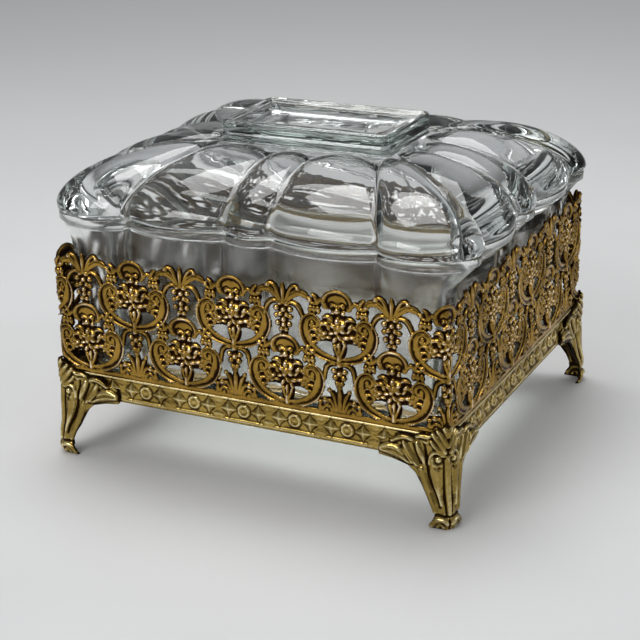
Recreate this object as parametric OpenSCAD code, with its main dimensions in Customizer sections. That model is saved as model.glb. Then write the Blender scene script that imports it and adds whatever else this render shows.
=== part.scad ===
// Glass casket box: a lidded pressed-glass dish in a footed brass filigree stand.
// Millimetres, +Z up. Origin: centre of the footprint, on the surface the feet stand on.
// +X runs along the long front face, -Y is the front.

/* [Stand] */
// Width across the outside of the brass band
stand_w = 144.5; // [142:0.5:148]
// Depth across the outside of the brass band
stand_d = 131.3; // [127:0.5:135]
// Height of the band's lower edge above the table
band_base = 22.6; // [21:0.2:23.4]
// Height of the stamped band
band_h = 9; // [8:0.2:10]
// Thickness of the rolled brass parts
sheet_t = 1.2; // [1:0.1:1.4]
// Width of the opening in the hidden ledge that carries the dish
ledge_open_w = 114; // [100:1:118]
// Depth of the same opening
ledge_open_d = 88; // [76:1:92]

/* [Filigree] */
// Spacing of the pattern along the strip
pitch = 38; // [36:0.5:40]
// Height of one row of scrolls above the other
row_rise = 17.5; // [17:0.1:18]
// Where the pattern starts, from the front left corner
pattern_start = 11.6; // [8:0.1:16]

/* [Glass] */
// Height of the joint between dish and lid
rim_z = 87; // [86:0.5:90]
// Height of the handle's top
top_z = 112.5; // [111.5:0.5:115]
// Half the lid's width, measured in the creases
crease_x = 73.4; // [72:0.2:74]
// Half the lid's depth, measured in the creases
crease_y = 60; // [59:0.2:61]
// How far a side lobe swells beyond its creases
lobe = 4.6; // [3:0.2:5.2]
// Half the handle's length
handle_x = 31.7; // [28:0.5:34]
// Half the handle's width
handle_y = 18.8; // [17:0.5:20]
// Wall thickness of the glass
glass_t = 4; // [3.5:0.1:4.4]

/* [Hidden] */
brass = [0.70, 0.50, 0.20];
clear_glass = [0.86, 0.93, 0.90, 0.45];
half_w = stand_w / 2;
half_d = stand_d / 2;
side_len = stand_d - 2 * sheet_t;
band_top = band_base + band_h;

// ---- Filigree gallery ----
rail_h = 1.8;               // plain rail along the strip's lower edge
rail_rise = 1.2;            // from the rail's lower edge to the lowest scroll
joint_lap = 0.02;           // shapes that share an edge overlap this much
strip_limit = 60;           // taller than the strip

// A tapering band that follows an ellipse from angle a0 to a1
function arc_band(rx, rz, a0, a1, w0, w1, n) = concat(
    [for (i = [0:n]) let (k = i / n, a = a0 + (a1 - a0) * k, w = (w0 + (w1 - w0) * k) / 2)
        [(rx + w) * cos(a), (rz + w) * sin(a)]],
    [for (i = [n:-1:0]) let (k = i / n, a = a0 + (a1 - a0) * k, w = (w0 + (w1 - w0) * k) / 2)
        [(rx - w) * cos(a), (rz - w) * sin(a)]]);

module both_sides() {
    children();
    mirror([1, 0]) children();
}

module oval(x, z, rx, rz, turn = 0, corners = 8) {
    translate([x, z]) rotate(turn)
        polygon([for (i = [0:corners - 1]) [rx * cos(i * 360 / corners), rz * sin(i * 360 / corners)]]);
}

// Heart-shaped scroll with its bouquet and its shell knob; the lowest point is at the origin
module cartouche() {
    both_sides() {
        translate([0, 9.3]) polygon(arc_band(12.6, 8.2, -92, 38, 2.4, 4.2, 8));
        oval(8.4, 14.4, 3.8, 3.2);
        oval(5.2, 9.6, 5.2, 3.4, -12);
        oval(6.9, 19.6, 2.2, 3.4, -12, 6);
    }
    polygon([[-2.4, 0], [2.4, 0], [1.6, 4], [4, 7.4], [4.4, 13.6], [2.4, 15], [2.4, 18.5],
             [-2.4, 18.5], [-2.4, 15], [-4.4, 13.6], [-4, 7.4], [-1.6, 4]]);
    oval(0, 20.8, 5.2, 3.9, 22.5);
}

// Grape cluster with drooping leaves, hanging from the origin
module cluster(drop) {
    polygon([[-2.6, -0.4], [2.6, -0.4], [2.4, -4], [0.9, -drop], [-0.9, -drop], [-2.4, -4]]);
    both_sides() translate([1.6, -3.8]) polygon(arc_band(3.6, 3.9, -32, 112, 1.3, 2.2, 4));
}

// Acanthus sprig with a shell on each side, rising from the rail
module sprig() {
    polygon([[-1.7, -1], [1.7, -1], [1.3, 3], [3.9, 7.4], [1.2, 7], [0, 10],
             [-1.2, 7], [-3.9, 7.4], [-1.3, 3]]);
    both_sides() oval(4.4, 1, 2.7, 2.8, 22.5);
}

// Three plumes over a longer cluster that reaches down to the knob below
module palmette() {
    oval(0, 38.6, 1.8, 3.8, 0, 6);
    both_sides() {
        oval(2.6, 38.8, 1.5, 3.4, -38, 6);
        translate([5.8, 35.2]) polygon(arc_band(4.3, 4.8, 8, 150, 1.8, 2.4, 5));
        translate([2.2, 30.2]) polygon(arc_band(3.4, 5.4, -35, 112, 1.3, 2.2, 4));
    }
    translate([0, 36.4]) cluster(12.2);
}

module one_pitch() {
    cartouche();
    palmette();
    translate([pitch / 2, 0]) sprig();
    translate([pitch / 2, row_rise]) {
        cartouche();
        cluster(10);
    }
}

// The flat pattern between two places along the strip, with its rail
module strip(from, to) {
    first = floor((from - pattern_start) / pitch) - 1;
    last = ceil((to - pattern_start) / pitch);
    translate([-from, 0]) offset(delta = joint_lap, $fn = 8) intersection() {
        translate([from + joint_lap, joint_lap]) square([to - from - 2 * joint_lap, strip_limit]);
        union() {
            for (k = [first:last]) translate([pattern_start + k * pitch, rail_rise]) one_pitch();
            translate([from - 1, -1]) square([to - from + 2, rail_h + 1]);
        }
    }
}

// One side of the gallery, standing with its outer face on the plane y = 0
module gallery_side(from, length) {
    translate([0, sheet_t, band_top]) rotate([90, 0, 0]) linear_extrude(sheet_t) strip(from, from + length);
}

module filigree_gallery() {
    color(brass) union() {
        translate([-half_w, -half_d, 0]) gallery_side(0, stand_w);
        translate([half_w, -half_d + sheet_t, 0]) rotate(90) gallery_side(stand_w, side_len);
        translate([half_w, half_d, 0]) rotate(180) gallery_side(stand_w + side_len, stand_w);
        translate([-half_w, half_d - sheet_t, 0]) rotate(270) gallery_side(-side_len, side_len);
    }
}

// ---- Band and ledge ----
bead_h = 1.1;               // raised line along each edge of the band
relief = 0.4;               // how far the stamped relief stands out
ring_step = pitch / 2;      // a ring stands midway between two scrolls of the filigree
ring_r = 3.1;
star_x = 6.2;               // from a ring to the star beside it
star_long = 2.9;
star_short = 0.9;
arm_reach = 25.3;           // how far a foot's wings run along the band

module frame_ring(w, d, open_w, open_d, h) {
    linear_extrude(h) difference() {
        square([w, d], center = true);
        square([open_w, open_d], center = true);
    }
}

// A ring boss with a star on each side, on the plane y = 0, facing -y
module band_motif() {
    rotate([90, 0, 0]) {
        cylinder(r = ring_r, h = relief, $fn = 24);
        for (side = [-1, 1]) translate([side * star_x, 0, 0]) linear_extrude(relief)
            polygon([for (i = [0:7]) let (r = i % 2 == 0 ? star_long : star_short, a = i * 45)
                [r * cos(a), r * sin(a)]]);
    }
}

// The motifs that fall between the two feet of a side that starts at the place from
module band_motifs(from, length) {
    clear = arm_reach + star_x + star_long;
    phase = pattern_start + pitch / 4;
    first = ceil((from + clear - phase) / ring_step);
    last = floor((from + length - clear - phase) / ring_step);
    for (k = [first:last]) translate([phase + k * ring_step - from, 0, 0]) band_motif();
}

module base_band() {
    body_w = stand_w - 2 * relief;
    body_d = stand_d - 2 * relief;
    inner_w = stand_w - 2 * sheet_t;
    inner_d = stand_d - 2 * sheet_t;
    color(brass) union() {
        translate([0, 0, band_base]) frame_ring(body_w, body_d, inner_w, inner_d, band_h);
        for (z = [band_base, band_top - bead_h])
            translate([0, 0, z]) frame_ring(stand_w, stand_d, inner_w, inner_d, bead_h);
        translate([0, 0, band_base + band_h / 2]) {
            translate([-half_w, -body_d / 2, 0]) band_motifs(0, stand_w);
            translate([body_w / 2, -half_d, 0]) rotate(90) band_motifs(stand_w, stand_d);
            translate([half_w, body_d / 2, 0]) rotate(180) band_motifs(stand_w + stand_d, stand_w);
            translate([-body_w / 2, half_d, 0]) rotate(270) band_motifs(2 * stand_w + stand_d, stand_d);
        }
    }
}

ledge_z = band_base + 1.6;
ledge_t = 1;

module tray_ledge() {
    color(brass) translate([0, 0, ledge_z])
        frame_ring(stand_w - 2 * sheet_t, side_len, ledge_open_w, ledge_open_d, ledge_t);
}

// ---- Feet ----
joint_gap = 0.05;           // solder joint between a foot and the band
tight_bend = sheet_t + joint_gap;   // bend of a foot's outer face where it hugs the band's sharp corner
// Height, length of each arm, how far the corner stands out from the band's, and its bend
foot_profile = [
    [0, 7.4, 3, 2.4], [1.2, 7.7, 3.2, 2.4], [2.6, 6.6, 3.4, 2.4], [4, 5.7, 3.5, 2.4], [5.6, 5.8, 3.4, 2.4],
    [9, 7.5, 2.8, 2.4], [12, 9.1, 2.3, 2.4], [15, 11, 2.1, 2.4], [17.4, 12.6, 2, 2.4], [19.2, 15, 1.9, 2.4],
    [20.6, 18.6, 1.7, 2], [band_base - joint_gap, arm_reach, sheet_t + joint_gap, tight_bend],
    [26, 24.5, sheet_t, tight_bend], [28.2, 20, sheet_t, tight_bend], [30.4, 14, sheet_t, tight_bend],
    [32.4, 8.6, sheet_t, tight_bend], [34.8, 3.6, sheet_t, tight_bend]];
toe_bend = foot_profile[0][3];
arm_steps = 5;
bend_steps = 4;

// The path of a foot's section, set in from its outer face: front arm, bend, side arm
function foot_path(arm, bend, inset) = let (r = bend - inset) concat(
    [for (i = [0:arm_steps - 1]) [-bend - (arm - bend) * (1 - i / arm_steps), inset]],
    [for (i = [0:bend_steps]) let (t = 90 * i / bend_steps) [-bend + r * sin(t), bend - r * cos(t)]],
    [for (i = [1:arm_steps]) [-inset, bend + (arm - bend) * i / arm_steps]]);

function foot_face(inset) = [for (p = foot_profile) for (q = foot_path(p[1], p[3], inset))
    [q[0] + p[2], q[1] - p[2], p[0]]];

function quad(a, b, c, d) = [[a, b, c], [c, b, d]];

// The stamped shell of the foot at the front right corner, the corner of the band at the origin
module foot_shell() {
    cols = 2 * arm_steps + bend_steps + 1;
    rows = len(foot_profile);
    back = rows * cols;                 // first point of the inner face
    top = back - cols;
    cells = [for (i = [0:rows - 2]) for (j = [0:cols - 2]) i * cols + j];
    polyhedron(points = concat(foot_face(0), foot_face(sheet_t)), faces = concat(
        [for (g = cells) each quad(g, g + cols, g + 1, g + cols + 1)],
        [for (g = cells) each quad(back + g, back + g + 1, back + g + cols, back + g + cols + 1)],
        [for (j = [0:cols - 2]) each quad(j, j + 1, j + back, j + 1 + back)],
        [for (j = [top:top + cols - 2]) each quad(j, j + back, j + 1, j + 1 + back)],
        [for (j = [0:cols:top - 1]) each quad(j, j + back, j + cols, j + cols + back)],
        [for (j = [cols - 1:cols:top - 1]) each quad(j, j + cols, j + back, j + cols + back)]));
}

toe_t = 1.4;                // thickness of the toe's turned-under lip
toe_lap = 0.4;              // how far that lip runs into the shell

module foot() {
    toe_arm = foot_profile[0][1] - 0.2;
    toe_out = foot_profile[0][2];
    color(brass) translate([half_w, -half_d, 0]) union() {
        foot_shell();
        translate([toe_out, -toe_out, 0]) linear_extrude(toe_t) polygon([
            [-toe_arm, toe_lap], [-toe_bend, toe_lap], [-toe_lap, toe_bend], [-toe_lap, toe_arm],
            [-toe_bend, toe_arm], [-toe_arm, toe_bend]]);
    }
}

module foot_front_right() { foot(); }
module foot_front_left() { mirror([1, 0, 0]) foot(); }
module foot_back_right() { mirror([0, 1, 0]) foot(); }
module foot_back_left() { mirror([1, 0, 0]) mirror([0, 1, 0]) foot(); }

// ---- Glass ----
rib_half = 8.5;             // half the narrow rib in the middle of each side
rib_top = 7;                // the same where it meets the handle
rib_share = 0.7;            // a rib's swell against a side lobe's
lobe_end_x = 46;            // where the side lobes end, along x
lobe_end_y = 44;            // and along y
handle_round = 3;           // corner radius of the handle
rib_steps = 2;
lobe_steps = 5;
corner_steps = 6;

function swell(f) = 1 - pow(2 * f - 1, 2);
function mix(a, b, f) = a + (b - a) * f;

// A quarter of a lobed outline, from the middle of the front to the middle of the right side, with its
// creases at cx and cy, a corner lobe that swells by corner, and the roundness of the corner under it.
// One station: point in the crease line, outward direction, swell, foot of the handle, share of the swell
function quarter(cx, cy, corner, power) = concat(
    [for (i = [0:rib_steps - 1]) let (f = i / rib_steps, s = rib_share * (1 - f * f))
        [rib_half * f, -cy, 0, -1, lobe * s, rib_top * f, -handle_y, s]],
    [for (i = [0:lobe_steps - 1]) let (f = i / lobe_steps, s = swell(f))
        [mix(rib_half, lobe_end_x, f), -cy, 0, -1, lobe * s,
         mix(rib_top, handle_x - handle_round, f), -handle_y, s]],
    [for (i = [0:corner_steps - 1])
        let (f = i / corner_steps, s = sin(90 * f), c = cos(90 * f))
        [mix(lobe_end_x, cx, pow(s, 2 / power)), -mix(lobe_end_y, cy, pow(c, 2 / power)),
         s, -c, corner * swell(f),
         handle_x - handle_round * (1 - s), -handle_y + handle_round * (1 - c), swell(f)]],
    [for (i = [0:lobe_steps - 1]) let (f = i / lobe_steps, s = swell(f))
        [cx, -mix(lobe_end_y, rib_half, f), 1, 0, lobe * s,
         handle_x, -mix(handle_y - handle_round, rib_top, f), s]],
    [for (i = [0:rib_steps]) let (f = 1 - i / rib_steps, s = rib_share * (1 - f * f))
        [cx, -rib_half * f, 1, 0, lobe * s, handle_x, -rib_top * f, s]]);

function mirrored(q, mx, my) =
    [for (p = q) [p[0] * mx, p[1] * my, p[2] * mx, p[3] * my, p[4], p[5] * mx, p[6] * my, p[7]]];
function but_last(q) = [for (i = [0:len(q) - 2]) q[i]];
function backwards(q) = [for (i = [len(q) - 1:-1:0]) q[i]];
function all_round(q) = concat(
    but_last(q),
    but_last(backwards(mirrored(q, 1, -1))),
    but_last(mirrored(q, -1, -1)),
    but_last(backwards(mirrored(q, -1, 1))));

// The lid and the dish's flange follow the rim. The dish's wall fills the gallery, with squarer corners
dish_gap = 0.65;            // room between the gallery and the dish
overhang = 0.8;             // how far the rim stands out past the wall, at least
wall_x = min(half_w - sheet_t - dish_gap, crease_x + lobe - overhang) - lobe;
wall_y = min(half_d - sheet_t - dish_gap, crease_y + lobe - overhang) - lobe;
rim_corner = 9.5;           // how far the rim's corner lobe swells
rim_power = 1.7;            // roundness of the corner under it
wall_corner = 7.8;
wall_power = 2.6;
rim = all_round(quarter(crease_x, crease_y, rim_corner, rim_power));
wall = all_round(quarter(wall_x, wall_y, wall_corner, wall_power));

// A level ring that follows an outline, drawn in by inset
function level_ring(path, inset, z) = [for (p = path)
    [p[0] + p[2] * (p[4] - inset), p[1] + p[3] * (p[4] - inset), z]];

// A ring of a dome over an outline, at the angle a: 0 at the rim, 90 at the foot of the handle
dome_power = 1.8;
dome_puff = 2.6;            // how far a lobe's middle rises above its creases
function dome_ring(path, a, low, high, inset, drawn) = [for (p = path)
    let (r = pow(cos(a), 2 / dome_power), h = pow(sin(a), 2 / dome_power),
         out = p[4] * cos(a) - inset * r - drawn * (1 - r))
    [mix(p[5], p[0], r) + p[2] * out, mix(p[6], p[1], r) + p[3] * out,
     mix(low, high, h) + dome_puff * p[7] * sin(2 * a)]];

// A ring round the handle, grown from its foot
function handle_ring(grow, z) = [for (p = rim) [p[5] + p[2] * grow, p[6] + p[3] * grow, z]];

// A closed solid from rings, with a middle point at each end
module lofted(rings, first_middle, last_middle) {
    n = len(rim);
    end = (len(rings) - 1) * n;
    middle = len(rings) * n;
    polyhedron(points = concat([for (r = rings) each r], [first_middle, last_middle]), faces = concat(
        [for (i = [0:len(rings) - 2]) for (j = [0:n - 1])
            let (p = i * n + j, q = i * n + (j + 1) % n) each quad(p, p + n, q, q + n)],
        [for (j = [0:n - 1]) [middle, j, (j + 1) % n]],
        [for (j = [0:n - 1]) [middle + 1, end + (j + 1) % n, end + j]]));
}

tray_base = ledge_z + ledge_t;
tray_floor = tray_base + 5;
flange_base = rim_z - 3.4;
neck_z = 75;                // the dish's wall flares out to the rim above this height
foot_in = 3;                // how far the wall draws in towards its foot
shoulder_in = 1.6;          // from the rim's edge in to the wall under the flange
draft = 0.4;                // how far the inside of the wall draws in down to the neck
chamfer = 0.6;              // rounding of the pressed edges

module glass_tray() {
    color(clear_glass) lofted([
        level_ring(wall, foot_in + 2, tray_base),
        level_ring(wall, foot_in, tray_base + 2),
        level_ring(wall, 0, neck_z),
        level_ring(rim, shoulder_in, flange_base - 1),
        level_ring(rim, chamfer, flange_base + chamfer),
        level_ring(rim, chamfer, rim_z - chamfer),
        level_ring(rim, 2 * chamfer, rim_z),
        level_ring(wall, glass_t, rim_z),
        level_ring(wall, glass_t + draft, neck_z),
        level_ring(wall, foot_in + glass_t, tray_floor + 5),
        level_ring(wall, foot_in + glass_t + 4, tray_floor)],
        [0, 0, tray_base], [0, 0, tray_floor]);
}

lid_edge = 1.8;             // height of the lid's upright edge
lip_gap = 1;                // play between the lid's locating lip and the dish's mouth
lip_drop = 2.5;             // how far the lip reaches into the dish
lip_t = 2.2;                // thickness of the lip
handle_base = 106;          // height at which the dome meets the handle
handle_hollow = 2.2;        // depth of the hollow in the handle's top
ceiling_z = handle_base - glass_t;
dome_steps = 9;
under_steps = 6;

module glass_lid() {
    lip_in = glass_t + lip_gap;
    under_in = lip_in + lip_t;
    color(clear_glass) lofted(concat(
        [for (i = [under_steps:-1:0])
            dome_ring(wall, 90 * i / under_steps, rim_z + 1, ceiling_z, under_in, 1)],
        [level_ring(wall, under_in, rim_z - lip_drop + chamfer),
         level_ring(wall, under_in - chamfer, rim_z - lip_drop),
         level_ring(wall, lip_in + chamfer, rim_z - lip_drop),
         level_ring(wall, lip_in, rim_z - lip_drop + chamfer),
         level_ring(wall, lip_in, rim_z),
         level_ring(rim, chamfer, rim_z),
         level_ring(rim, 0, rim_z + chamfer)],
        [for (i = [0:dome_steps])
            dome_ring(rim, 90 * i / dome_steps, rim_z + lid_edge, handle_base, 0, 0)],
        [handle_ring(0.2, top_z - 1.5),
         handle_ring(-0.8, top_z),
         handle_ring(-handle_round + 0.4, top_z - 0.4),
         [for (p = rim) [p[5] * 0.8, p[6] * 0.7, top_z - handle_hollow]]]),
        [0, 0, ceiling_z], [0, 0, top_z - handle_hollow]);
}

glass_lid();
glass_tray();
filigree_gallery();
base_band();
tray_ledge();
foot_front_left();
foot_front_right();
foot_back_left();
foot_back_right();
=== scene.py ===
from math import cos, degrees, hypot, pi, radians, sin

import bmesh
import bpy
import numpy as np
from mathutils import Matrix, Vector


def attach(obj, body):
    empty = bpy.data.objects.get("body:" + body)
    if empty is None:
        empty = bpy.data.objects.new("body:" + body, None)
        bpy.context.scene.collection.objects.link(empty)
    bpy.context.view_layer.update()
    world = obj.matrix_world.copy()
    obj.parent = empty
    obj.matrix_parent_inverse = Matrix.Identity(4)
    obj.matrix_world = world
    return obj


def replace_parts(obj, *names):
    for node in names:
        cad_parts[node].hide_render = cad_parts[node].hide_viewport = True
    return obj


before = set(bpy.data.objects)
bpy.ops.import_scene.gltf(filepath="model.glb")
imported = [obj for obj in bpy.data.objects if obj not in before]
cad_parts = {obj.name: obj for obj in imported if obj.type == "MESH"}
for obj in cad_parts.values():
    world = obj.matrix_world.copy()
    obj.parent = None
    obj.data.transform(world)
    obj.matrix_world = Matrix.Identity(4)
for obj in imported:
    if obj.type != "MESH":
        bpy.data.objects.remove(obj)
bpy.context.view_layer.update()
mm = .001  # shapes below are worked out in millimetres
print("frame loaded:", len(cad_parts), "nodes")


# camera, floor and lights

camera = {"place": (.2476, -.4967, .2507), "turn": -.4695, "dip": .3680, "roll": -.0276, "lens": 92.26,
          "film": 36, "nearest": .01, "farthest": 20}


def addCamera(v):
    t, d, r = v["turn"], v["dip"], v["roll"]
    forward = Vector((sin(t) * cos(d), cos(t) * cos(d), -sin(d)))
    right = Vector((cos(t), -sin(t), 0))
    up = right.cross(forward)
    right, up = cos(r) * right + sin(r) * up, cos(r) * up - sin(r) * right
    data = bpy.data.cameras.new("camera")
    data.lens = v["lens"]
    data.sensor_width = v["film"]
    data.clip_start, data.clip_end = v["nearest"], v["farthest"]
    made = bpy.data.objects.new("camera", data)
    made.matrix_world = Matrix.Translation(v["place"]) @ Matrix((right, up, -forward)).transposed().to_4x4()
    bpy.context.scene.collection.objects.link(made)
    bpy.context.scene.camera = made


addCamera(camera)
print("camera placed")


class Shader:  # short words for building a node tree
    def __init__(self, tree):
        self.tree = tree

    def put(self, kind, **values):
        node = self.tree.nodes.new(kind)
        for key, value in values.items():
            setattr(node, key, value)
        return node

    def join(self, source, target):
        self.tree.links.new(source, target)

    def feed(self, socket, value):  # a link where the value is a socket, else a plain value
        if isinstance(value, bpy.types.NodeSocket):
            self.join(value, socket)
        else:
            socket.default_value = value

    def math(self, kind, a, b, clamp=False):
        node = self.put("ShaderNodeMath", operation=kind, use_clamp=clamp)
        self.feed(node.inputs[0], a)
        self.feed(node.inputs[1], b)
        return node.outputs[0]

    def plus(self, a, b):
        return self.math("ADD", a, b)

    def minus(self, a, b, clamp=False):
        return self.math("SUBTRACT", a, b, clamp)

    def times(self, a, b):
        return self.math("MULTIPLY", a, b)

    def noise(self, where, scale, detail=3., rough=.55):
        node = self.put("ShaderNodeTexNoise")
        self.join(where, node.inputs["Vector"])
        node.inputs["Scale"].default_value = scale
        node.inputs["Detail"].default_value = detail
        node.inputs["Roughness"].default_value = rough
        return node.outputs["Fac"]

    def ramp(self, value, low, high, start=0., end=1.):  # smooth step
        node = self.put("ShaderNodeMapRange", interpolation_type="SMOOTHSTEP")
        self.feed(node.inputs["Value"], value)
        for key, number in (("From Min", low), ("From Max", high), ("To Min", start), ("To Max", end)):
            self.feed(node.inputs[key], number)
        return node.outputs["Result"]

    def mix(self, amount, a, b):
        node = self.put("ShaderNodeMix", data_type="RGBA")
        self.feed(node.inputs[0], amount)
        self.feed(node.inputs[6], a)
        self.feed(node.inputs[7], b)
        return node.outputs[2]


def opaque(colour, share=1.):
    return tuple(c * share for c in colour) + (1,)


def newMaterial(name):
    material = bpy.data.materials.new(name)
    material.use_nodes = True
    return material, Shader(material.node_tree), material.node_tree.nodes["Principled BSDF"]


stage = {"width": 6., "floor": (.63, .63, .63), "dull": .5, "cloudScale": 5, "cloudSpan": (.35, .65),
         "cloudShade": .95, "farShade": .76, "farSpan": (.12, .8), "sky": (.76, .78, .80),
         "skyLow": (.26, .26, .26), "skySpan": (0., .6), "skyStrength": .56, "backdrop": (.5, .5, .5)}


def addFloor(v):  # pale, a little cloudy, with painted shade: darker away from the object, standing in for the lamps' light falling off
    half = v["width"] / 2
    corners = [(-half, -half, 0), (half, -half, 0), (half, half, 0), (-half, half, 0)]
    mesh = bpy.data.meshes.new("floor")
    mesh.from_pydata(corners, [], [(0, 1, 2, 3)])
    floor = bpy.data.objects.new("floor", mesh)
    bpy.context.scene.collection.objects.link(floor)
    material, s, surface = newMaterial("paleFloor")
    surface.inputs["Roughness"].default_value = v["dull"]
    where = s.put("ShaderNodeTexCoord").outputs["Object"]
    away = s.put("ShaderNodeVectorMath", operation="LENGTH")
    s.join(where, away.inputs[0])
    cloud = s.ramp(s.noise(where, v["cloudScale"]), *v["cloudSpan"])
    near = s.mix(cloud, opaque(v["floor"], v["cloudShade"]), opaque(v["floor"]))
    # painted shade: the floor colour darkens with distance from the object
    distance = s.ramp(away.outputs["Value"], *v["farSpan"])
    s.join(s.mix(distance, near, opaque(v["floor"], v["farShade"])), surface.inputs["Base Color"])
    mesh.materials.append(material)


def addSky(v):  # lights from above; the camera sees an even backdrop instead
    world = bpy.data.worlds.new("softStudio")
    world.use_nodes = True
    s = Shader(world.node_tree)
    sky = world.node_tree.nodes["Background"]
    split = s.put("ShaderNodeSeparateXYZ")
    s.join(s.put("ShaderNodeTexCoord").outputs["Generated"], split.inputs[0])
    light = s.mix(s.ramp(split.outputs["Z"], *v["skySpan"]), opaque(v["skyLow"]), opaque(v["sky"]))
    seen = s.put("ShaderNodeLightPath").outputs["Is Camera Ray"]
    s.join(s.mix(seen, light, opaque(v["backdrop"])), sky.inputs["Color"])
    sky.inputs["Strength"].default_value = v["skyStrength"]
    bpy.context.scene.world = world


lamps = {
    "key": {"place": (-.2, .25, 1.1), "target": (0, 0, .05), "size": (.8, .6), "watts": 8},
    "front": {"place": (-.3, -1.05, .85), "target": (0, 0, .08), "size": (.8, .4), "watts": 6},
    "rim": {"place": (1., .35, .5), "target": (0, 0, .08), "size": (.3, .5), "watts": 1.1}}


def addLamp(name, v):
    data = bpy.data.lights.new(name, "AREA")
    data.shape = "RECTANGLE"
    data.size, data.size_y = v["size"]
    data.energy = v["watts"]
    made = bpy.data.objects.new(name, data)
    made.location = v["place"]
    made.rotation_euler = (Vector(v["target"]) - Vector(v["place"])).to_track_quat("-Z", "Y").to_euler()
    bpy.context.scene.collection.objects.link(made)


addFloor(stage)
addSky(stage)
for lampName, lamp in lamps.items():
    addLamp(lampName, lamp)
print("floor and lights placed")


# brass: one group for the tarnish that all the brass pieces share. It works from the recess of each point,
# which is below 0 on the high spots of the relief and above 0 in its grooves. Grooves and the low edges
# round the openings go dark towards the grime colour: partly real patina and dirt, partly painted shade.

ageing = {"blotchScale": 90, "speckScale": 900, "speckDepth": .22, "wearBelow": .16, "wearAbove": .1,
          "stainSpan": (.4, .68), "stainOverWear": .7, "stainDirt": .08, "stainBrown": .45, "stainDull": .12,
          "dirtAndShadeRange": .17, "dirtDull": .3, "speckSpan": (.35, .7), "speckDull": .08, "blotchHeight": 2.}


def agedBrassGroup(v):
    tree = bpy.data.node_groups.new("agedBrass", "ShaderNodeTree")
    for name in ("Polished", "Tarnished", "Grime_and_shade"):
        tree.interface.new_socket(name, in_out="INPUT", socket_type="NodeSocketColor")
    for name in ("Recess", "Wear", "Dirt_and_shade", "Blotch", "Shine"):
        tree.interface.new_socket(name, in_out="INPUT", socket_type="NodeSocketFloat")
    tree.interface.new_socket("Color", in_out="OUTPUT", socket_type="NodeSocketColor")
    for name in ("Roughness", "Height"):
        tree.interface.new_socket(name, in_out="OUTPUT", socket_type="NodeSocketFloat")
    s = Shader(tree)
    given = s.put("NodeGroupInput").outputs
    out = s.put("NodeGroupOutput").inputs
    where = s.put("ShaderNodeTexCoord").outputs["Object"]
    blotches = s.noise(where, v["blotchScale"], 4)
    specks = s.noise(where, v["speckScale"], 3, .6)
    deep = s.plus(given["Recess"], s.times(s.minus(specks, .5), v["speckDepth"]))
    rubbedBelow = s.minus(given["Wear"], v["wearBelow"])
    rubbedAbove = s.plus(given["Wear"], v["wearAbove"])
    stain = s.times(s.ramp(blotches, *v["stainSpan"]), given["Blotch"])
    worn = s.ramp(deep, rubbedBelow, rubbedAbove, 1., 0.)
    worn = s.minus(worn, s.times(stain, v["stainOverWear"]), True)
    dirtAndShadeDepth = s.plus(deep, s.times(stain, v["stainDirt"]))
    # painted shade: grooves and low edges darken towards the grime colour, partly as real dirt, partly as
    # shade
    dirt_and_shade = s.ramp(dirtAndShadeDepth, given["Dirt_and_shade"], s.plus(given["Dirt_and_shade"], v["dirtAndShadeRange"]))
    stained = s.mix(s.times(stain, v["stainBrown"]), given["Tarnished"], given["Grime_and_shade"])
    metal = s.mix(worn, stained, given["Polished"])
    s.join(s.mix(dirt_and_shade, metal, given["Grime_and_shade"]), out["Color"])
    dull = s.plus(given["Shine"], s.times(s.ramp(specks, *v["speckSpan"]), v["speckDull"]))
    dull = s.plus(dull, s.times(dirt_and_shade, v["dirtDull"]))
    s.join(s.plus(dull, s.times(stain, v["stainDull"])), out["Roughness"])
    s.join(s.plus(specks, s.times(blotches, v["blotchHeight"])), out["Height"])
    return tree


agedBrass = agedBrassGroup(ageing)
dentDepth = .0003  # metres

brassFinish = {
    "filigreeBrass": {"polished": (.92, .73, .50), "tarnished": (.39, .23, .042), "grime_and_shade": (.020, .008, .003),
                      "shine": .13, "wear": -.3, "dirt_and_shade": .03, "blotch": .9, "dents": .2},
    "bandBrass": {"polished": (.86, .72, .38), "tarnished": (.42, .29, .07), "grime_and_shade": (.05, .026, .008),
                  "shine": .2, "wear": -.12, "dirt_and_shade": .05, "blotch": .6, "dents": .14},
    "footBrass": {"polished": (.84, .71, .38), "tarnished": (.36, .25, .065), "grime_and_shade": (.026, .013, .005),
                  "shine": .17, "wear": -.17, "dirt_and_shade": .05, "blotch": .6, "dents": .14},
    "plainBrass": {"polished": (.55, .40, .17), "tarnished": (.33, .22, .08), "grime_and_shade": (.05, .03, .01),
                   "shine": .38, "wear": -.2, "dirt_and_shade": .4, "blotch": .8, "dents": .08}}


def brassMaterial(name):
    v = brassFinish[name]
    material, s, surface = newMaterial(name)
    surface.inputs["Metallic"].default_value = 1
    age = s.put("ShaderNodeGroup", node_tree=agedBrass)
    for key in ("polished", "tarnished", "grime_and_shade"):
        age.inputs[key.capitalize()].default_value = opaque(v[key])
    for key in ("shine", "wear", "dirt_and_shade", "blotch"):
        age.inputs[key.capitalize()].default_value = v[key]
    recess = s.put("ShaderNodeAttribute", attribute_name="recess")
    s.join(recess.outputs["Fac"], age.inputs["Recess"])
    s.join(age.outputs["Color"], surface.inputs["Base Color"])
    s.join(age.outputs["Roughness"], surface.inputs["Roughness"])
    dents = s.put("ShaderNodeBump")
    dents.inputs["Strength"].default_value = v["dents"]
    dents.inputs["Distance"].default_value = dentDepth
    s.join(age.outputs["Height"], dents.inputs["Height"])
    s.join(dents.outputs["Normal"], surface.inputs["Normal"])
    return material


filigreeBrass = brassMaterial("filigreeBrass")
bandBrass = brassMaterial("bandBrass")
footBrass = brassMaterial("footBrass")
plainBrass = brassMaterial("plainBrass")


# clear pressed glass

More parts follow.
